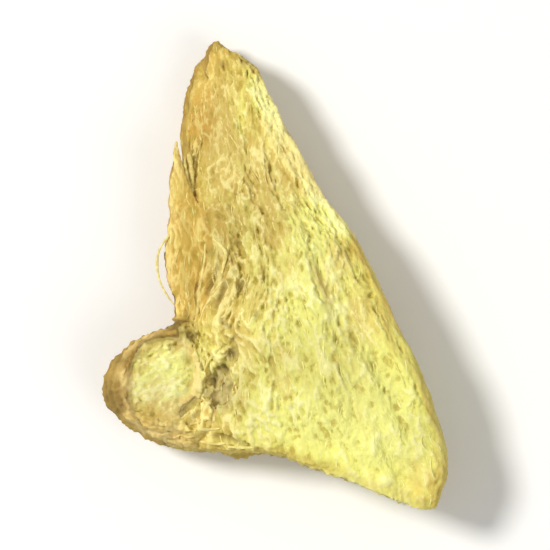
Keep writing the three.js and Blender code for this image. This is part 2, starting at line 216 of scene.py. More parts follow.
# Colours.
LEMON = (0.86, 0.85, 0.25, 1)
STRAW = (0.67, 0.51, 0.145, 1)
# The crests' paler colours and the olive of the gaps are partly the flesh's own and partly painted
# highlight and painted shade that follow the relief.
LEMON_CREST = (0.98, 0.96, 0.42, 1)
STRAW_CREST = (0.90, 0.77, 0.30, 1)
OLIVE_GAP = (0.50, 0.40, 0.08, 1)
# Painted shade for the cleft, pits, gaps, grooves, cut end and hem, and the colour of the far-left
# dark spots.
DARK_HOLLOW = (0.20, 0.135, 0.04, 1)
# Painted shade in the hollow beside the cleft.
GREY_HOLLOW_SHADE = (0.50, 0.40, 0.20, 1)
AMBER = (0.74, 0.47, 0.11, 1)
AMBER_CREST = (0.90, 0.69, 0.24, 1)
PEACH_RIM = (0.96, 0.76, 0.30, 1)
PEACH_SHADE = (0.78, 0.56, 0.18, 1)
# Brown of the outline, partly the rind's own and partly painted shadow.
EDGE_BROWN_SHADOW = (0.52, 0.37, 0.08, 1)
# Painted warmth near the outline, which cancels the cool bounce light on the grazing edges.
EDGE_TINT = (1.0, 0.98, 0.84, 1)
DULL_TINT = (0.85, 0.83, 0.77, 1)
# Also carries the painted highlight of the rims and the painted light of some tone spots.
PALE_TINT = (1.09, 1.1, 1.08, 1)
FACE_TINT = (0.96, 0.97, 1.1, 1)
BARK_BROWN = (0.25, 0.135, 0.03, 1)
BARK_LIGHT = (0.51, 0.32, 0.10, 1)
PAPER_WHITE = (0.9, 0.9, 0.89, 1)
SKY_COLOUR = (1.0, 0.99, 0.97, 1)
SKY_STRENGTH = 0.38

# Sockets of Blender's Mix node that carry colours.
MIX_COLOUR_A = 6
MIX_COLOUR_B = 7
MIX_COLOUR_RESULT = 2

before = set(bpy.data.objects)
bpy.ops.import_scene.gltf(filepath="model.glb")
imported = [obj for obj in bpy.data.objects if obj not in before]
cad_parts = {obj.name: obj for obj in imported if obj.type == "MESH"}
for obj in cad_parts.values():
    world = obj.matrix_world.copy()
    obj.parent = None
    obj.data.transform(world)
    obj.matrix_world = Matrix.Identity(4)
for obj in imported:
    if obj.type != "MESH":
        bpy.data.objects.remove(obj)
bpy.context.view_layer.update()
box_low, box_high = (np.array(corner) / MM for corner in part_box("ginger_root"))


# Small helpers

def smoothstep(edge0, edge1, value):
    """0 up to the first edge and 1 from the second, with a soft rise between them."""
    t = np.clip((value - edge0) / (edge1 - edge0), 0, 1)
    return t * t * (3 - 2 * t)


def mix(a, b, share):
    return a + (b - a) * share


def fade(distance, reach):
    """1 where the distance is 0, fading out over the reach."""
    return np.exp(-(distance / reach) ** 2)


def smooth_noise(points, size, seed):
    """Noise from -1 to 1, whose lumps have the given size in mm along each axis."""
    scaled = points / np.array(size) + seed
    return np.array([noise.noise(p) for p in scaled.tolist()])


def ridges(points, size, seed, sharpness=3.0):
    """Raised lines from 0 to 1, between the lumps of the noise."""
    return np.clip(1 - sharpness * np.abs(smooth_noise(points, size, seed)), 0, 1)


def pits(points, size, share, seed):
    """Rounded holes from 0 to 1. Share is the part of the noise's cells that hold one."""
    scaled = points / np.array(size) + seed
    depth = np.zeros(len(points))
    for i, p in enumerate(scaled.tolist()):
        distances, cells = noise.voronoi(p)
        cell = cells[0]
        wave = math.sin(cell.x * 12.99 + cell.y * 78.2 + cell.z * 37.7)
        draw = math.modf(abs(wave) * 437.5)[0]
        if draw < share:
            depth[i] = max(0.0, 1 - distances[0] / 0.55)
    return depth * depth * (3 - 2 * depth)


def near(points, spots, reach):
    """1 at each of the spots in plan, fading out over the reach in mm."""
    x, y = points[:, 0], points[:, 1]
    return sum(np.exp(-((x - sx) ** 2 + (y - sy) ** 2) / reach ** 2) for sx, sy in spots)


def distance_to_path(points, path):
    """Distance in plan from the points to the nearest part of a path of straight lines."""
    shortest = np.full(len(points), np.inf)
    for a, b in zip(np.array(path[:-1]), np.array(path[1:])):
        along = np.clip(((points[:, :2] - a) @ (b - a)) / ((b - a) @ (b - a)), 0, 1)
        nearest = a + along[:, None] * (b - a)
        shortest = np.minimum(shortest, np.linalg.norm(points[:, :2] - nearest, axis=1))
    return shortest


def distance_to_shape(points, corners):
    """Distance in plan from the points to a closed shape's outline, less than 0 inside it."""
    inside = np.zeros(len(points), bool)
    x, y = points[:, 0], points[:, 1]
    for (ax, ay), (bx, by) in zip(corners, corners[1:] + corners[:1]):
        crosses = (ay > y) != (by > y)
        height = np.where(crosses, by - ay, 1.0)
        inside ^= crosses & (x < ax + (bx - ax) * (y - ay) / height)
    return distance_to_path(points, corners + corners[:1]) * np.where(inside, -1, 1)


def edge_distance(points, normals):
    """Distance in plan from the points to the chip's outline, which is where its walls stand."""
    walls = points[(np.abs(normals[:, 2]) < 0.3) & (points[:, 2] < WALL_TOP)]
    tree = KDTree(len(walls))
    for i, (x, y, _) in enumerate(walls):
        tree.insert((x, y, 0), i)
    tree.balance()
    return np.array([tree.find((x, y, 0))[2] for x, y, _ in points])


def right_of_splinter(points):
    """Distance along x from the splinter's inner line, less than 0 on the splinter."""
    return points[:, 0] - np.interp(points[:, 1], *zip(*SPLINTER_INNER))


def fibre_space(points):
    """Coordinates across the fibres, along them, and in depth."""
    dx = points[:, 0] - FAN_POINT[0]
    dy = FAN_POINT[1] - points[:, 1]
    across = np.arctan2(dx, dy) * FAN_RADIUS
    askew = 0.55 * near(points, [PULLED_FIBRES], 2.4) * (PULLED_FIBRES[1] - points[:, 1])
    return np.stack([across + askew, np.hypot(dx, dy), points[:, 2]], axis=1)


def bud_space(points):
    """The same along the bud's own axis. The two agree at the middle of the seam."""
    ax, ay = BUD_AXIS
    seam = np.append(np.mean(BUD_SEAM, axis=0), 0.0)
    offset = fibre_space(seam[None])[0]
    dx = points[:, 0] - seam[0]
    dy = points[:, 1] - seam[1]
    return offset + np.stack([dx * -ay + dy * ax, dx * ax + dy * ay, points[:, 2]], axis=1)


def bud_bark_space(points):
    """Coordinates round the side of the bud, up it, and out from its middle."""
    dx = points[:, 0] - BUD_MIDDLE[0]
    dy = points[:, 1] - BUD_MIDDLE[1]
    around = np.arctan2(-dy, -dx) * BUD_RADIUS
    return np.stack([around, points[:, 2], np.hypot(dx, dy)], axis=1)


# Meshes

def read_vertices(mesh):
    """Places in mm and normals of a mesh's vertices."""
    points = np.empty(len(mesh.vertices) * 3)
    normals = np.empty(len(mesh.vertices) * 3)
    mesh.vertices.foreach_get("co", points)
    mesh.vertices.foreach_get("normal", normals)
    return points.reshape(-1, 3) / MM, normals.reshape(-1, 3)


def move_vertices(mesh, points):
    mesh.vertices.foreach_set("co", (points * MM).ravel())
    mesh.update()


def write_attribute(mesh, name, values):
    """Gives each vertex a number, or a vector where the values have three columns."""
    if values.ndim == 2:
        vectors = mesh.attributes.new(name, "FLOAT_VECTOR", "POINT")
        vectors.data.foreach_set("vector", values.ravel())
    else:
        numbers = mesh.attributes.new(name, "FLOAT", "POINT")
        numbers.data.foreach_set("value", values)


def shade_smooth(mesh):
    for polygon in mesh.polygons:
        polygon.use_smooth = True


def apply_modifiers(piece):
    evaluated = piece.evaluated_get(bpy.context.evaluated_depsgraph_get())
    mesh = bpy.data.meshes.new_from_object(evaluated)
    piece.modifiers.clear()
    piece.data = mesh


def fine_copy(node, name):
    """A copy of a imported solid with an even, fine mesh, thinned out only on its flat underside."""
    copy = bpy.data.objects.new(name, node.data.copy())
    bpy.context.scene.collection.objects.link(copy)
    remesh = copy.modifiers.new("even_mesh", "REMESH")
    remesh.mode = "VOXEL"
    remesh.voxel_size = VOXEL * MM
    soften = copy.modifiers.new("soften", "SMOOTH")
    soften.factor = 0.5
    soften.iterations = SOFTENING_PASSES
    apply_modifiers(copy)
    points, normals = read_vertices(copy.data)
    flat = np.flatnonzero((points[:, 2] < VOXEL / 2) & (normals[:, 2] < -0.98))
    underside = copy.vertex_groups.new(name="underside")
    underside.add(flat.tolist(), 1.0, "REPLACE")
    thin = copy.modifiers.new("thin_out", "DECIMATE")
    thin.ratio = THINNING
    thin.vertex_group = underside.name
    apply_modifiers(copy)
    copy.vertex_groups.clear()
    copy.data.name = name
    return copy


# Kinds of surface, as shares from 0 to 1

def bud_regions(points, normals, on_top):
    """The stub of the side bud, its cut disc and its bark, and the raised lines round the disc."""
    x, y, z = points.T
    (upper_x, upper_y), (lower_x, lower_y) = BUD_SEAM
    seam_x = mix(upper_x, lower_x, (y - upper_y) / (lower_y - upper_y))
    bud = smoothstep(0.6, -0.6, x - seam_x) * smoothstep(-2.0, -2.9, y)
    face_edge = distance_to_shape(points, BUD_FACE)
    frayed = 0.8 * smooth_noise(points, (0.8, 0.8, 0.8), 38.5)
    lower_seam = smoothstep(-4.5, -5.0, x + 0.35 * np.clip(-6 - y, 0, 3) + frayed)
    bark = bud * smoothstep(-0.1, 0.2, face_edge) * lower_seam
    upper_side = smoothstep(-5.8, -4.8, y)
    left_rim = fade(face_edge - 0.1, 0.26) * bark * (1 - upper_side)
    ridge_distance = distance_to_path(points, BUD_RIDGE)
    rim_distance = distance_to_path(points, BUD_LOWER_RIM)
    inside_disc = smoothstep(0, -0.2, face_edge)
    return {
        "bud": bud,
        "bud_face": bud * smoothstep(0.15, -0.1, face_edge) * on_top,
        "bud_bark": bark,
        "left_rim": left_rim * smoothstep(0.0, 0.4, normals[:, 2]),
        "rim_groove": fade(face_edge - 0.25, 0.14) * bud * on_top * upper_side,
        "ridge": fade(ridge_distance, 0.2) * on_top,
        "ridge_groove": fade(ridge_distance - 0.37, 0.12) * on_top * inside_disc,
        # lower rim, whose pale orange is partly painted light on a slope turned from the key light
        "lower_rim": smoothstep(0.75, 0.25, rim_distance) * smoothstep(2.6, 3.3, z),
        "shelf": smoothstep(0.55, 0.15, rim_distance) * smoothstep(2.7, 3.4, z),
    }


def wedge_regions(points, normals, bud):
    """The walls of the wedge, its splinter, its tip, and the edge along its right that gets a
    painted highlight.
    """
    x, y, z = points.T
    nx, ny, nz = normals.T
    on_splinter = smoothstep(0.25, -0.1, right_of_splinter(points))
    end_cut = smoothstep(-0.4, -0.75, ny) * smoothstep(END_CUT_Y + 0.6, END_CUT_Y, y) * (1 - bud)
    not_level = smoothstep(0.65, 0.4, nz)
    below_tip = smoothstep(11.2, 9.4, y)
    upper_right = smoothstep(1.5, 2.7, y) * below_tip * smoothstep(-2.2, -1.2, x)
    lower_right = smoothstep(2.5, 4.5, x) * smoothstep(7.6, 7.0, x) * smoothstep(-9.5, -10.3, y)
    return {
        "splinter": on_splinter * smoothstep(-2.9, -2.2, y) * smoothstep(7.3, 6.9, y),
        "tip": smoothstep(10.2, 11.5, y - 0.6 * (x + 3.2)),
        "end_cut": end_cut,
        "left_wall": smoothstep(-0.25, -0.6, nx) * not_level * (1 - bud) * (1 - end_cut),
        "right_wall": smoothstep(0.35, 0.7, nx) * (1 - end_cut),
        # the right rim, which gets a painted highlight as if its edge caught the light
        "highlit_rim": (upper_right + 0.35 * lower_right) * smoothstep(3.0, 4.0, z),
    }


def small_features(points, on_top):
    """Lines, pits, gaps, mottling and the hollow that gets painted shade, each at its own place."""
    x, y, z = points.T
    mottling = 0.5 + 0.9 * smooth_noise(points, (0.55, 0.55, 0.9), 6.6)
    cleft = smoothstep(0.55, 0.1, distance_to_path(points, CLEFT))
    from_hollow = np.hypot((x - HOLLOW[0]) / HOLLOW_SIZE[0], (y - HOLLOW[1]) / HOLLOW_SIZE[1])
    pitted = near(points, PITS, 0.17) + 1.5 * near(points, DEEP_PITS, 0.25)
    gap_distance = np.min([distance_to_path(points, gap) for gap in GAPS], axis=0)
    features = {
        "mottling": mottling,
        "cleft": cleft * np.clip(mottling, 0, 1) * on_top,
        "hollow": smoothstep(1.2, 0.5, from_hollow) * on_top,
        "pits": np.clip(pitted, 0, 1.5) * on_top,
        "gaps": smoothstep(0.2, 0.05, gap_distance) * on_top,
    }
    for name, (path, half_width, bottom, top) in LINES.items():
        line = fade(distance_to_path(points, path), half_width)
        features[name] = line * smoothstep(bottom, top, z)
    return features


def regions(points, normals):
    """All kinds of surface by name."""
    on_top = smoothstep(0.25, 0.6, normals[:, 2])
    underside = smoothstep(-0.6, -0.9, normals[:, 2])
    zone = {"underside": underside}
    zone.update(bud_regions(points, normals, on_top))
    zone.update(wedge_regions(points, normals, zone["bud"]))
    zone.update(small_features(points, on_top))
    bud_bark, left_wall, splinter, tip = (
        zone[name] for name in ("bud_bark", "left_wall", "splinter", "tip"))
    wrinkled = np.maximum(bud_bark, left_wall) + 0.5 * splinter + 0.5 * tip
    browned = bud_bark + 0.6 * left_wall + 0.3 * splinter + 0.25 * tip
    zone["bark"] = np.clip(wrinkled, 0, 1) * (1 - underside)
    zone["rind"] = np.clip(browned, 0, 1) * (1 - underside)
    return zone


# Relief, in mm above the solid

def torn_fibres(space):
    """Split, fibrous flesh: its broad swells, and the fine strands with the gaps between them."""
    sway = 0.3 * smooth_noise(space, (1.4, 3.0, 1.4), 3.1)
    sway = sway + 0.1 * smooth_noise(space, (0.5, 1.0, 0.5), 9.4)
    drift = 0.35 * smooth_noise(space, (0.9, 1.2, 0.9), 17.2)
    space = space + np.stack([sway, drift, 0.5 * sway], axis=1)
    swell = smooth_noise(space, (1.5, 3.6, 1.5), 0.7)
    clumps = smooth_noise(space, (0.55, 1.1, 0.55), 29.8)
    bundles = ridges(space, (0.75, 2.2, 0.75), 12.3, 2.5)
    threads = ridges(space, (0.34, 0.95, 0.34), 40.9, 2.6)
    hairs = ridges(space, (0.21, 0.45, 0.21), 63.3, 2.4)
    holes = pits(space, (0.36, 0.55, 0.36), 0.45, 5.5)
    grain = smooth_noise(space, (0.15, 0.3, 0.15), 71.7)
    broad = 0.06 * swell + 0.07 * bundles + 0.1 * clumps
    fine = 0.11 * threads + 0.07 * hairs - 0.14 * holes + 0.05 * grain
    return broad - 0.05, fine - 0.06


def wrinkled_bark(space, ring_depth):
    """Shrunken bark: lengthwise wrinkles crossed by the rings of old scale leaves."""
    sway = 0.25 * smooth_noise(space, (1.0, 2.0, 1.0), 14.2)
    space = space + np.stack([sway, 0 * sway, sway], axis=1)
    wrinkles = ridges(space, (0.5, 2.4, 0.55), 21.0, 2.0)
    fine = ridges(space, (0.22, 0.9, 0.24), 33.0, 2.2)
    flakes = np.clip(smooth_noise(space, (0.8, 0.6, 0.8), 55.0), 0, 1)
    grain = smooth_noise(space, (0.13, 0.2, 0.13), 47.0)
    unevenness = smooth_noise(space, (1.6, 1.6, 1.6), 8.0)
    phase = 2 * math.pi * ring_depth / RING_SPACING + 2.0 * unevenness
    rings = (0.5 + 0.5 * np.cos(phase)) ** 3
    rings = rings * (0.6 + 0.6 * smooth_noise(space, (2.0, 2.0, 2.0), 9.9))
    return 0.11 * wrinkles + 0.06 * fine + 0.05 * flakes + 0.03 * grain + 0.12 * rings - 0.12


def split_wall(space):
    """The side that split along the fibres: long strands with narrow splits between them."""
    sway = 0.2 * smooth_noise(space, (1.2, 5.0, 1.2), 81.3)
    space = space + np.stack([sway, 0 * sway, sway], axis=1)
    swell = smooth_noise(space, (1.8, 6.0, 1.8), 83.7)
    strands = ridges(space, (0.42, 4.5, 0.42), 86.1, 2.2)
    threads = ridges(space, (0.2, 1.8, 0.2), 88.4, 2.2)
    patches = smoothstep(-0.1, 0.4, smooth_noise(space, (1.3, 2.4, 1.3), 90.1))
    splits = ridges(space, (0.6, 5.0, 0.6), 92.2, 6.0) * patches
    grain = smooth_noise(space, (0.15, 0.35, 0.15), 95.0)
    return 0.07 * swell + 0.1 * strands + 0.07 * threads - 0.14 * splits + 0.04 * grain - 0.08


def cut_across(points, up_axis):
    """A cut across the fibres: their ends stand out a little, with holes between them."""
    across = points[:, 0]
    up = points[:, up_axis]
    depth = 0.3 * points[:, 3 - up_axis]
    flat = np.stack([0.8 * across + 0.6 * up, 0.8 * up - 0.6 * across, depth], axis=1)
    swell = smooth_noise(flat, (1.6, 1.6, 1.6), 101.3)
    ends = pits(flat, (0.42, 0.42, 0.42), 0.45, 103.1)
    holes = pits(flat, (0.55, 0.55, 0.55), 0.2, 107.9)
    grain = smooth_noise(flat, (0.17, 0.17, 0.17), 109.3)
    scores = smooth_noise(points, (2.5, 2.5, 0.35), 111.1)
    return 0.1 * swell + 0.12 * ends - 0.16 * holes + 0.08 * grain + 0.05 * scores - 0.05


def tornness(points, splinter):
    """How strong the fine relief of the torn flesh is, round 1."""
    strength = 1.0 + 0.5 * smooth_noise(points, (2.0, 2.6, 2.0), 27.0)
    strength = strength + 0.4 * near(points, [PULLED_FIBRES], 3.0)
    strength += 0.15 * smoothstep(3.0, -2.0, points[:, 0]) - 0.3 * near(points, CALM_SPOTS, 4.0)
    strength += 0.4 * near(points, ROUGH_SPOTS, 2.2)
    strength += 0.4 * splinter
    return np.clip(strength, 0.5, 1.7)


def chip_relief(points, zone):
    """The whole relief, and the parts of it that the colours follow."""
    bud = zone["bud"]
    wedge_space = fibre_space(points)
    own_space = bud_space(points)
    bark_space = mix(wedge_space, bud_bark_space(points), bud[:, None])
    wedge_broad, wedge_fine = torn_fibres(wedge_space)
    bud_broad, bud_fine = torn_fibres(own_space)
    bud_cut = 1.3 * cut_across(1.15 * points, 1) + 0.05
    broad = mix(wedge_broad, 0.5 * bud_broad, bud)
    fine = mix(wedge_fine, 0.3 * bud_fine + bud_cut, zone["bud_face"])
    fine = fine * tornness(points, zone["splinter"])
    wall = mix(split_wall(wedge_space), cut_across(points, 2), zone["end_cut"])
    on_wall = np.maximum(zone["right_wall"], zone["end_cut"])
    broad = mix(broad, 0.3 * wall, on_wall)
    fine = mix(fine, (0.7 + 0.3 * zone["end_cut"]) * wall, on_wall)
    bud_depth = distance_to_shape(points, BUD_FACE) + box_high[2] - points[:, 2]
    bark = wrinkled_bark(bark_space, mix(0.4 * wedge_space[:, 1], bud_depth, bud))
    relief = mix((broad + fine) * (1 - 0.75 * zone["underside"]), bark, zone["bark"])
    unevenness = 0.04 * zone["mottling"] * zone["bud_face"]
    relief += unevenness + 0.12 * zone["highlit_rim"] * zone["right_wall"]
    knots = smooth_noise(points, (0.32, 0.32, 0.32), 19.0)
    relief += 0.1 * zone["upper_rim"] - 0.12 * zone["left_rim"] - 0.1 * zone["rim_groove"]
    relief += (0.14 + 0.12 * knots) * zone["ridge"] - 0.1 * zone["ridge_groove"]
    relief -= 0.12 * zone["cleft"] + 0.12 * zone["pits"] + 0.14 * zone["gaps"]
    own_space = mix(own_space, bark_space, zone["bud_bark"][:, None])
    parts = {
        "fibre": mix(wedge_space, own_space, bud[:, None]),
        "lace": fine + 0.8 * broad,
        "wall": wall,
        "bark": bark,
    }
    return relief, parts


def wear_ridges(mesh):
    """Wears down the solid's coarse ridges where they crowd together, near the tip."""
    points, normals = read_vertices(mesh)
    x, y, _ = points.T
    share = mix(0.3 * smoothstep(-1.5, 0.5, x), 1.0, smoothstep(0.0, 5.0, y))
    share *= smoothstep(0.0, 0.3, right_of_splinter(points))
    share *= smoothstep(0.3, 0.7, normals[:, 2])
    share = 0.5 * share[:, None]
    edges = np.empty(len(mesh.edges) * 2, int)
    mesh.edges.foreach_get("vertices", edges)
    starts, ends = edges.reshape(-1, 2).T
    neighbours = np.bincount(edges, minlength=len(points))[:, None]
    for _ in range(WEAR_PASSES):
        total = np.zeros(points.shape)
        for axis in range(3):
            total[:, axis] += np.bincount(starts, points[ends, axis], len(points))
            total[:, axis] += np.bincount(ends, points[starts, axis], len(points))
        points = points + share * (total / neighbours - points)
    move_vertices(mesh, points)


def fill_grooves(points, shelf):
    """Raises the points in the grooves that are too deep in the solid."""
    z = points[:, 2]
    raised = SHELF_MOST * shelf * np.clip(SHELF_GROUND - z, 0, None)
    for dip in FILLED_SPOTS:
        share = dip["strength"] * near(points, dip["spots"], dip["reach"])
        share = np.clip(share, 0, dip["most"]) * (z > dip["above"])
        raised = np.maximum(raised, share * np.clip(dip["ground"] - z, 0, None))
    for groove in FILLED_PATHS:
        share = fade(distance_to_path(points, groove["path"]), groove["reach"])
        share = share * (z > groove["above"])
        raised = np.maximum(raised, share * np.clip(groove["ground"] - z, 0, None))
    heights = np.clip(z + raised, 0, box_high[2] + HIGHEST_RELIEF)
    return np.stack([points[:, 0], points[:, 1], heights], axis=1)


# Colours of the skin

def warmth(points):
    """How far the colour leans from lemon to straw, from 0 to 1."""
    x, y = points[:, 0], points[:, 1]
    warm = 0.65 * smoothstep(4.5, -4.0, x + 0.1 * y) + 0.4 * smoothstep(-1.0, 9.5, y)
    warm += 0.3 * smoothstep(0.9, 0.2, distance_to_path(points, WARM_STREAK))
    return warm + 0.4 * near(points, WARM_SPOTS, 1.5) - 0.3 * near(points, LEMON_SPOTS, 1.6)


def darkness(points, zone, wall):
    """Painted shade in the cleft, pits, gaps and grooves, in the holes and at the foot of the cut
    end and along the bud's hem, and darker spots on the bud's far left.
    """
    wall_shade = 0.5 * smoothstep(-0.09, -0.18, wall) + 0.2 * smoothstep(2.4, 0.4, points[:, 2])
    dark = 0.25 * zone["cleft"] + 0.55 * zone["pits"] + 0.55 * zone["gaps"]
    dark += wall_shade * zone["end_cut"]
    dark += 0.1 * zone["rim_groove"] + 0.3 * zone["ridge_groove"] + 0.25 * zone["hem"]
    return dark + 0.45 * near(points, FAR_LEFT_DARK_SPOTS, 0.5)


def amberness(points, zone):
    """Amber flesh on the splinter and near the corner, and in its split, where the amber is partly
    the flesh's orange-tan and partly painted light against the splinter's shade.
    """
    amber = near(points, AMBER_SPOTS, AMBER_REACH) + 0.5 * zone["splinter"]
    amber = amber + 0.6 * near(points, [GOLDEN_CORNER], AMBER_REACH)
    return amber + (0.6 * zone["crevice"] - 1.5 * near(points, [PALE_SPLINTER_TIP], AMBER_REACH))


def peachiness(points, zone):
    """Pale orange rims of the bud and of the splinter, and a few patches. On the bud's lower rim and
    the patch below it, the pale orange is partly painted light on a slope that turns from the key
    light.
    """
    rims = zone["upper_rim"] + zone["left_rim"] + zone["ridge"] + 0.6 * zone["lower_rim"]
    rims = rims - zone["rim_groove"]
    rims += sum(strength * near(points, [(x, y)], reach) for x, y, reach, strength in PEACH_SPOTS)
    splinter_edge = 0.6 * fade(distance_to_path(points, SPLINTER_EDGE), SPLINTER_EDGE_WIDTH)
    return rims + splinter_edge * smoothstep(2.5, 3.2, points[:, 2])


def paint_skin(mesh, points, normals, zone, parts):
    """Writes the shares by which the material mixes its colours."""
    x, y, z = points.T
    edge = edge_distance(points, normals)
    # Painted highlight on the right rim and along the top of the cut end, edges that turn away from
    # the key light.
    highlit_rim = zone["highlit_rim"] * smoothstep(0.8, 0.2, edge)
    painted_highlight = zone["end_cut"] * smoothstep(1.5, 3.0, z) + highlit_rim
    lace = parts["lace"]
    lowest, middle, highest = np.percentile(lace, (3, 50, 97))
    strand = (smoothstep(lowest, middle, lace) + smoothstep(middle, highest, lace)) / 2
    strand += 0.25 * zone["bud_face"] * (1 - strand)
    # Paler and duller patches, some of them painted light on slopes turned from the key light.
    tone = sum(paler * near(points, [(sx, sy)], TONE_REACH) for sx, sy, paler in TONE_SPOTS)
    # Thin brown edge along the outline, partly rind and partly painted shadow, weaker towards the
    # upper right; the hem gets it strongest.
    browned = mix(1.0, 0.3, smoothstep(-4.0, 2.0, x) * smoothstep(-6.0, 0.0, y))
    browned *= smoothstep(0.35, 0.05, edge) * (1 - zone["upper_rim"]) * (1 - highlit_rim)
    on_walls = 0.45 * zone["right_wall"] + 0.25 * zone["end_cut"]
    attributes = {
        "fibre": parts["fibre"],
        "strand": strand + 0.4 * painted_highlight,
        "tone": np.clip(tone + 2 * painted_highlight, -1, 1),
        "brown_edge_and_shadow": np.maximum(browned, 1.8 * zone["hem"]),
        # painted warmth near the outline, set against the cool bounce light there
        "near_edge": smoothstep(1.5, 0.2, edge) * (1 - highlit_rim),
        # the split keeps no rind; its amber is partly painted light
        "rind": zone["rind"] * (1 - zone["crevice"]),
        "rind_tone": smoothstep(-0.12, 0.12, parts["bark"]),
        "rim": np.clip(peachiness(points, zone), 0, 1),
        "bud_face": zone["bud_face"],
        "dark": np.clip(darkness(points, zone, parts["wall"]), 0, 1),
        "hollow": zone["hollow"],
        "warm": np.clip(warmth(points) + on_walls, 0, 1),
        "amber": np.clip(amberness(points, zone), 0, 1),
    }
    for name, values in attributes.items():
        write_attribute(mesh, name, values)


def make_skin():
    """The chip's surface, with its relief in the mesh and its colours' shares on the vertices."""
    skin = fine_copy(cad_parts["ginger_root"], "ginger_chip")
    mesh = skin.data
    wear_ridges(mesh)
    points, normals = read_vertices(mesh)
    zone = regions(points, normals)
    relief, parts = chip_relief(points, zone)
    points = fill_grooves(points + normals * relief[:, None], zone["shelf"])
    move_vertices(mesh, points)
    paint_skin(mesh, points, normals, zone, parts)
    shade_smooth(mesh)
    return skin


# Loose fibres

def surface_below(surface, x, y):
    """The place on the surface straight below a point in the air, or None beside the chip."""
    start = Vector((x, y, box_high[2] + ABOVE_CHIP)) * MM
    return surface.ray_cast(start, Vector((0, 0, -1)))[0]


def fibre_heading(x, y):
    """Unit vector along the fibres, away from the tip."""
    away = np.array([x - FAN_POINT[0], y - FAN_POINT[1]])
    return away / np.linalg.norm(away)


def tube(path, radii, sides, first):
    """Vertices and faces of a closed tube along a path. First is its first vertex's index."""
    vertices = []
    faces = []
    steps = len(path)
    for k, (centre, radius) in enumerate(zip(path, radii)):
        tangent = path[min(k + 1, steps - 1)] - path[max(k - 1, 0)]
        tangent = tangent / np.linalg.norm(tangent)
        side = np.cross(tangent, (0.0, 0.0, 1.0))
        side = side / max(np.linalg.norm(side), 1e-6)
        up = np.cross(side, tangent)
        for i in range(sides):
            angle = 2 * math.pi * i / sides
            rise = FLATNESS * math.sin(angle) * up
            vertices.append(centre + radius * (math.cos(angle) * side + rise))
    for k in range(steps - 1):
        for i in range(sides):
            j = (i + 1) % sides
            a, b = first + k * sides + i, first + k * sides + j
            faces.append((a, b, b + sides, a + sides))
    faces.append(tuple(first + i for i in reversed(range(sides))))
    faces.append(tuple(first + (steps - 1) * sides + i for i in range(sides)))
    return vertices, faces


def fibre_path(surface, start, length, bend, lift, steps):
    """A path over the wedge along its fibres, which may rise at its far end.

    It is None where the fibre would leave the wedge or step off a ledge.
    """
    path = []
    ground = None
    x, y = start
    for k in range(steps):
        hit = surface_below(surface, x, y)
        on_bud = x < BUD_SEAM[0][0] and y < BUD_SEAM[0][1]
        if hit is None or hit.z / MM < LOWEST_FIBRE or on_bud:
            return None
        if ground is not None and ground - hit.z / MM > STEEPEST_STEP:
            return None
        ground = hit.z / MM
        share = k / (steps - 1)
        path.append(np.array([x, y, ground + lift * share ** 2]))
        heading = fibre_heading(x, y)
        angle = bend * (share - 0.5) + 0.8 * noise.noise((x / 1.1, y / 1.6, 4.4 + bend))
        cos, sin = math.cos(angle), math.sin(angle)
        x += (heading[0] * cos - heading[1] * sin) * length / steps
        y += (heading[0] * sin + heading[1] * cos) * length / steps
    return path


def even_out(path, passes):
    """Averages the heights along a path, because a fibre is stiffer than the ground under it."""
    heights = np.array([p[2] for p in path])
    for _ in range(passes):
        heights[1:-1] = (heights[:-2] + 2 * heights[1:-1] + heights[2:]) / 4
    return [np.array([p[0], p[1], h]) for p, h in zip(path, heights)]


def strand_path(surface, strand):
    """A smooth path through a strand's points, at its own height or lying on the surface."""
    corners = [Vector((x, y, strand.get("height", 0))) for x, y in strand["points"]]
    corners = [2 * corners[0] - corners[1]] + corners + [2 * corners[-1] - corners[-2]]
    path = []
    for a, b, c, d in zip(corners, corners[1:], corners[2:], corners[3:]):
        curve = interpolate_bezier(b, b + (c - a) / 6, c - (d - b) / 6, c, CURVE_STEPS)
        path += curve[:-1]
    path.append(corners[-2])
    if "height" not in strand:
        for p in path:
            p.z = surface_below(surface, p.x, p.y).z / MM + 0.3 * strand["radius"]
    return even_out([np.array(p) for p in path], 6)


def tapered_radii(path, radius):
    """Radii along a fibre: thin at its ends, with small knots."""
    share = np.clip(np.linspace(0, 1, len(path)) * 0.9 + 0.1, 0, 1)
    knots = np.array([noise.noise(p / 0.3) for p in path])
    return radius * (0.3 + 0.7 * np.sin(math.pi * share) ** 0.6) * (1 + 0.4 * knots)


def make_fibres(skin, name, kinds):
    """Strands and fibres that lie in the surface or stand off it, as one joined mesh."""
    rng = np.random.default_rng(SEED)
    surface = BVHTree.FromObject(skin, bpy.context.evaluated_depsgraph_get())
    vertices, faces = [], []

    def add_fibre(path, radius, sides):
        radii = tapered_radii(path, radius)
        new_vertices, new_faces = tube(path, radii, sides, len(vertices))
        vertices.extend(new_vertices)
        faces.extend(new_faces)

    for strand in STRANDS:
        add_fibre(strand_path(surface, strand), strand["radius"], STRAND_SIDES)
    for kind in kinds:
        made = 0
        while made < kind["count"]:
            start = rng.uniform(box_low[:2], box_high[:2])
            length = rng.uniform(*kind["length"])
            bend = rng.normal(0, kind["bend"])
            lift = rng.uniform(*kind["lift"])
            radius = rng.uniform(*kind["radius"])
            path = fibre_path(surface, start, length, bend, lift, kind["steps"])
            if path is None:
                continue
            sunk = np.array([0, 0, kind["sink"] * radius])
            add_fibre([p - sunk for p in even_out(path, 3)], radius, kind["sides"])
            made += 1
    mesh = bpy.data.meshes.new(name)
    mesh.from_pydata([tuple(v * MM) for v in vertices], [], faces)
    write_attribute(mesh, "warm", np.clip(warmth(np.array(vertices)), 0, 1))
    shade_smooth(mesh)
    fibres = bpy.data.objects.new(name, mesh)
    bpy.context.scene.collection.objects.link(fibres)
    return fibres


# Materials

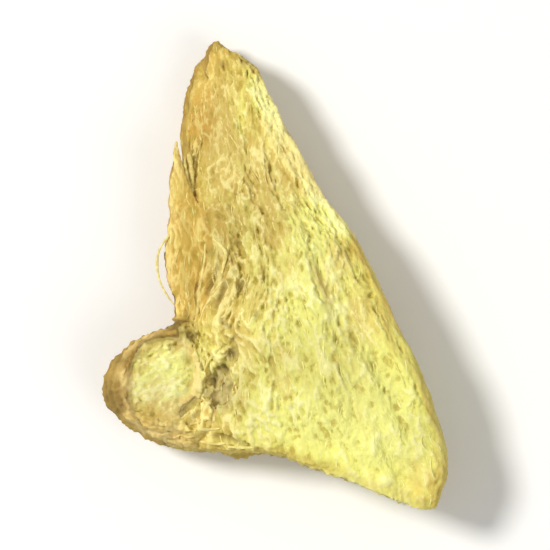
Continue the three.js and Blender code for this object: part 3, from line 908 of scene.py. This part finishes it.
class Nodes:
    """A short way to write a material's node tree."""

    def __init__(self, name, roughness, specular):
        self.material = bpy.data.materials.new(name)
        self.material.use_nodes = True
        self.tree = self.material.node_tree
        self.shader = self.tree.nodes["Principled BSDF"]
        self.shader.inputs["Roughness"].default_value = roughness
        self.shader.inputs["Specular IOR Level"].default_value = specular

    def add(self, kind, settings=None, **inputs):
        node = self.tree.nodes.new(kind)
        for key, value in (settings or {}).items():
            setattr(node, key, value)
        for key, value in inputs.items():
            self.set(node.inputs[key.replace("_", " ")], value)
        return node

    def set(self, socket, value):
        """Links the socket to another node's, or gives it a value of its own."""
        if isinstance(value, bpy.types.NodeSocket):
            self.tree.links.new(value, socket)
        else:
            socket.default_value = value

    def attribute(self, name, output="Fac"):
        return self.add("ShaderNodeAttribute", {"attribute_name": name}).outputs[output]

    def math(self, operation, a, b=0.0):
        node = self.add("ShaderNodeMath", {"operation": operation})
        self.set(node.inputs[0], a)
        self.set(node.inputs[1], b)
        return node.outputs[0]

    def times(self, value, factor):
        return self.math("MULTIPLY", value, factor)

    def shifted(self, value, noise_value, amount):
        """The value moved up and down by a noise whose middle is 0.5."""
        return self.math("ADD", value, self.times(self.math("SUBTRACT", noise_value, 0.5), amount))

    def noise(self, vector, size, detail=3.0, roughness=0.55):
        """Noise whose lumps have the given size along each axis of the vector."""
        stretched = self.add("ShaderNodeVectorMath", {"operation": "DIVIDE"})
        self.set(stretched.inputs[0], vector)
        self.set(stretched.inputs[1], size)
        node = self.add("ShaderNodeTexNoise", Scale=1.0, Detail=detail, Roughness=roughness)
        self.set(node.inputs["Vector"], stretched.outputs[0])
        return node.outputs["Fac"]

    def span(self, value, low_value, high_value):
        """The value as a share of the way from low to high, kept between 0 and 1."""
        node = self.add("ShaderNodeMapRange", {"clamp": True, "interpolation_type": "SMOOTHSTEP"})
        self.set(node.inputs["Value"], value)
        self.set(node.inputs["From Min"], low_value)
        self.set(node.inputs["From Max"], high_value)
        return node.outputs["Result"]

    def blend(self, share, a, b, mode="MIX"):
        node = self.add("ShaderNodeMix", {"data_type": "RGBA", "blend_type": mode})
        self.set(node.inputs["Factor"], share)
        self.set(node.inputs[MIX_COLOUR_A], a)
        self.set(node.inputs[MIX_COLOUR_B], b)
        return node.outputs[MIX_COLOUR_RESULT]

    def grit(self, vector, size, detail, depth):
        """Fine roughness in the shading, of the given depth."""
        height = self.noise(vector, size, detail, 0.7)
        bump = self.add("ShaderNodeBump", Strength=1.0, Distance=depth, Height=height)
        self.set(self.shader.inputs["Normal"], bump.outputs["Normal"])


def flesh_material():
    """Colour follows the relief: pale strands and olive gaps between them, partly the flesh's own
    colours and partly painted highlight and shade; painted shade in the hollows; and bark.
    """
    n = Nodes("dried_ginger", roughness=0.85, specular=0.2)
    fibre = n.attribute("fibre", "Vector")
    streak = n.noise(fibre, (0.3, 1.3, 0.3))
    fleck = n.noise(fibre, (0.12, 0.2, 0.12), 4.0)
    cloud = n.noise(fibre, (2.0, 3.2, 2.0), 3.0)
    warm = n.shifted(n.shifted(n.attribute("warm"), cloud, 1.2), streak, 1.5)
    warm = n.span(warm, 0.0, 1.0)
    strand = n.shifted(n.attribute("strand"), fleck, 0.9)
    amber = n.math("MULTIPLY", n.attribute("amber"), n.span(streak, 0.1, 0.7))
    ground = n.blend(amber, n.blend(warm, LEMON, STRAW), AMBER)
    crest = n.blend(amber, n.blend(warm, LEMON_CREST, STRAW_CREST), AMBER_CREST)
    # paler crests and olive gaps: partly the flesh's own colours, partly painted highlight and
    # painted shade following the relief
    flesh = n.blend(n.span(strand, 0.5, 1.0), ground, crest)
    flesh = n.blend(n.times(n.span(strand, 0.45, 0.0), 0.75), flesh, OLIVE_GAP)
    # tone: the flesh's own paler and duller patches, with painted light on some slopes and the
    # painted highlight of the rims
    tone = n.attribute("tone")
    flesh = n.blend(n.span(tone, 0.0, -1.0), flesh, DULL_TINT, "MULTIPLY")
    flesh = n.blend(n.span(tone, 0.0, 1.0), flesh, PALE_TINT, "MULTIPLY")
    flesh = n.blend(n.attribute("bud_face"), flesh, FACE_TINT, "MULTIPLY")
    # painted shade in the hollow beside the cleft
    flesh = n.blend(n.times(n.attribute("hollow"), 0.6), flesh, GREY_HOLLOW_SHADE)
    rind_noise = n.noise(fibre, (0.35, 0.8, 0.35), 4.0)
    rind_tone = n.shifted(n.attribute("rind_tone"), rind_noise, 1.6)
    rind = n.blend(n.span(rind_tone, 0.2, 1.0), BARK_BROWN, BARK_LIGHT)
    rind_edge = n.shifted(n.attribute("rind"), streak, 0.9)
    colour = n.blend(n.span(rind_edge, 0.4, 0.7), flesh, rind)
    # painted warmth near the outline, against the cool bounce light
    colour = n.blend(n.attribute("near_edge"), colour, EDGE_TINT, "MULTIPLY")
    # brown edge with painted shadow along the outline
    colour = n.blend(n.times(n.attribute("brown_edge_and_shadow"), 0.45), colour, EDGE_BROWN_SHADOW)
    peach = n.blend(n.span(strand, 0.2, 0.8), PEACH_SHADE, PEACH_RIM)
    # pale orange rims, partly painted light on the bud's lower slope
    colour = n.blend(n.times(n.attribute("rim"), 0.85), colour, peach)
    # painted shade in hollows and grooves, and the far-left dark spots
    colour = n.blend(n.times(n.attribute("dark"), 0.85), colour, DARK_HOLLOW)
    n.set(n.shader.inputs["Base Color"], colour)
    n.grit(fibre, (0.11, 0.2, 0.11), 5.0, 0.09 * MM)
    return n.material


def fibre_material():
    """The flesh's two colours in small patches, without the chip's painted shade, painted highlights
    and marks.
    """
    n = Nodes("loose_fibre", roughness=0.8, specular=0.2)
    place = n.add("ShaderNodeNewGeometry").outputs["Position"]
    patch = n.span(n.noise(place, (0.3 * MM, 0.3 * MM, 0.3 * MM)), 0.35, 0.65)
    ground = n.blend(n.attribute("warm"), LEMON, STRAW)
    crest = n.blend(n.attribute("warm"), LEMON_CREST, STRAW_CREST)
    n.set(n.shader.inputs["Base Color"], n.blend(patch, ground, crest))
    n.grit(place, (0.09 * MM, 0.09 * MM, 0.09 * MM), 4.0, 0.06 * MM)
    return n.material


# Stage, light and camera

def make_floor():
    """A white sheet under the chip."""
    half = 2.0
    mesh = bpy.data.meshes.new("floor")
    corners = [(-half, -half, 0), (half, -half, 0), (half, half, 0), (-half, half, 0)]
    mesh.from_pydata(corners, [], [(0, 1, 2, 3)])
    floor = bpy.data.objects.new("floor", mesh)
    bpy.context.scene.collection.objects.link(floor)
    n = Nodes("white_paper", roughness=0.9, specular=0.1)
    n.shader.inputs["Base Color"].default_value = PAPER_WHITE
    mesh.materials.append(n.material)


def make_light(name, place, size, power, colour):
    """A round lamp that points at the middle of the floor."""
    light = bpy.data.lights.new(name, "AREA")
    light.shape = "DISK"
    light.size = size
    light.energy = power
    light.color = colour
    lamp = bpy.data.objects.new(name, light)
    bpy.context.scene.collection.objects.link(lamp)
    lamp.location = place
    lamp.rotation_euler = (-Vector(place)).to_track_quat("-Z", "Y").to_euler()


def make_studio():
    """A small key light from the upper left, a weak wide fill from the other side, a pale sky."""
    make_light("key", place=(-0.34, 0.14, 0.48), size=0.15, power=3.0, colour=(1.0, 0.98, 0.95))
    make_light("fill", place=(0.4, -0.3, 0.5), size=0.5, power=1.2, colour=(1.0, 0.99, 0.97))
    world = bpy.data.worlds.new("studio")
    world.use_nodes = True
    sky = world.node_tree.nodes["Background"]
    sky.inputs["Color"].default_value = SKY_COLOUR
    sky.inputs["Strength"].default_value = SKY_STRENGTH
    bpy.context.scene.world = world
    bpy.context.scene.view_settings.view_transform = "Standard"


def make_camera():
    """Looks straight down from nearly above, with the narrow tip at the top of the picture."""
    distance = 0.5
    view_width = 28.6 * MM
    camera = bpy.data.cameras.new("camera")
    camera.sensor_width = 36.0
    camera.lens = camera.sensor_width * distance / view_width
    camera.clip_start = 0.01
    camera.clip_end = 10.0
    holder = bpy.data.objects.new("camera", camera)
    bpy.context.scene.collection.objects.link(holder)
    chip_middle = Vector((0, 0, 3 * MM))
    offset = Vector((7.4 * MM, -15.0 * MM, distance))
    backward = offset.normalized()
    right = Vector((0, 1, 0)).cross(backward).normalized()
    up = backward.cross(right)
    holder.location = chip_middle + offset
    holder.rotation_euler = Matrix((right, up, backward)).transposed().to_euler()
    bpy.context.scene.camera = holder


make_camera()
skin = make_skin()
skin.data.materials.clear()
skin.data.materials.append(flesh_material())
fibres = make_fibres(skin, "loose_fibres", FIBRE_KINDS)
fibres.data.materials.append(fibre_material())
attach(skin, "root")
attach(fibres, "root")
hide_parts("ginger_root")
make_floor()
make_studio()
